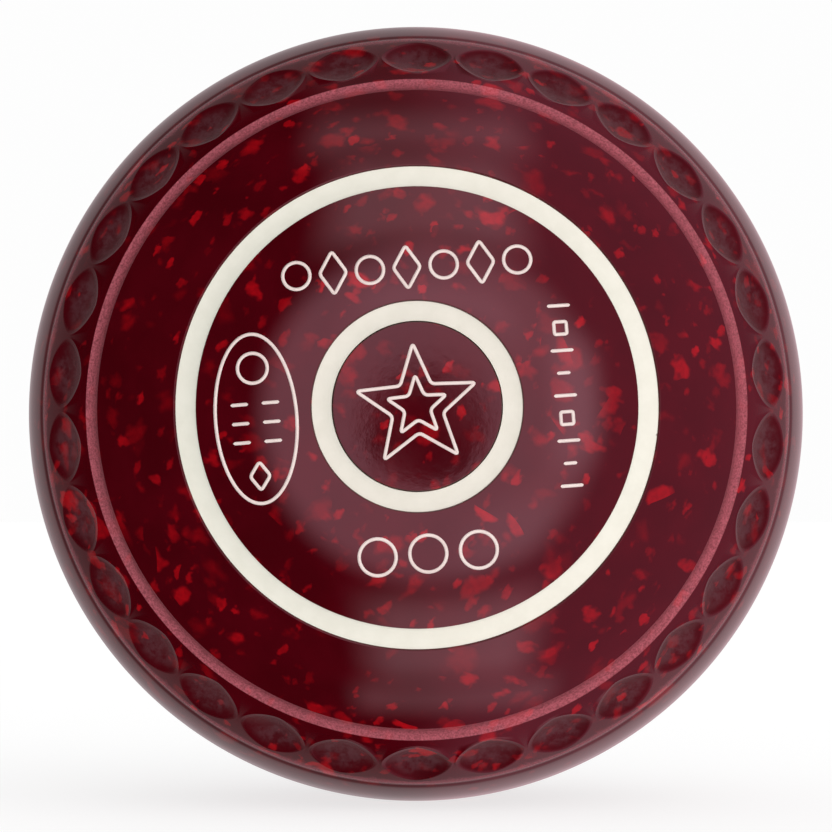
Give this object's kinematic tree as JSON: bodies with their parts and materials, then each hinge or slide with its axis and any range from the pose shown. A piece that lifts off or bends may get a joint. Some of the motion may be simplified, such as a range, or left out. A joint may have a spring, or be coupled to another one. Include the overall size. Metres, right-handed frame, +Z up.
{
  "type": "lawn bowl",
  "caption": "Lawn bowl with a biased running sole, dimpled grip rings, a grip line, painted rings and engraved marks on each side.",
  "frame": {"origin": "on the bowl's axis, midway between its two flat discs", "axes": "Y along the bowl's axis, with the bias side facing -Y and the plain side facing +Y; +Z up when the bowl stands on its running sole"},
  "size_m": [0.122, 0.103, 0.122],
  "materials": {
    "resin": "polished cast resin, dark maroon with bright red flakes",
    "ring_paint": "cured cream-white paint in a turned groove",
    "mark_paint": "cured pinkish white paint in engraved lines"
  },
  "bodies": {
    "root": {"bias_emblem_inner_star": "mark_paint", "bias_emblem_outer_star": "mark_paint", "bias_index_mark_1": "mark_paint", "bias_index_mark_2": "mark_paint", "bias_index_mark_3": "mark_paint", "bias_index_mark_4": "mark_paint", "bias_index_mark_5": "mark_paint", "bias_index_mark_6": "mark_paint", "bias_index_mark_7": "mark_paint", "bias_index_mark_8": "mark_paint", "bias_index_mark_9": "mark_paint", "bias_inner_ring": "ring_paint", "bias_outer_ring": "ring_paint", "bias_size_pip_1": "mark_paint", "bias_size_pip_2": "mark_paint", "bias_size_pip_3": "mark_paint", "bias_stamp_bar_1": "mark_paint", "bias_stamp_bar_2": "mark_paint", "bias_stamp_bar_3": "mark_paint", "bias_stamp_bar_4": "mark_paint", "bias_stamp_bar_5": "mark_paint", "bias_stamp_bar_6": "mark_paint", "bias_stamp_border": "mark_paint", "bias_stamp_lozenge": "mark_paint", "bias_stamp_ring": "mark_paint", "bias_top_row_lozenge_2": "mark_paint", "bias_top_row_lozenge_4": "mark_paint", "bias_top_row_lozenge_6": "mark_paint", "bias_top_row_ring_1": "mark_paint", "bias_top_row_ring_3": "mark_paint", "bias_top_row_ring_5": "mark_paint", "bias_top_row_ring_7": "mark_paint", "bowl_body": "resin", "plain_emblem_inner_star": "mark_paint", "plain_emblem_outer_star": "mark_paint", "plain_inner_ring": "ring_paint", "plain_outer_ring": "ring_paint", "plain_size_pip_1": "mark_paint", "plain_size_pip_2": "mark_paint", "plain_size_pip_3": "mark_paint", "plain_top_row_lozenge_2": "mark_paint", "plain_top_row_lozenge_4": "mark_paint", "plain_top_row_ring_1": "mark_paint", "plain_top_row_ring_3": "mark_paint", "plain_top_row_ring_5": "mark_paint"}
  },
  "joints": []
}
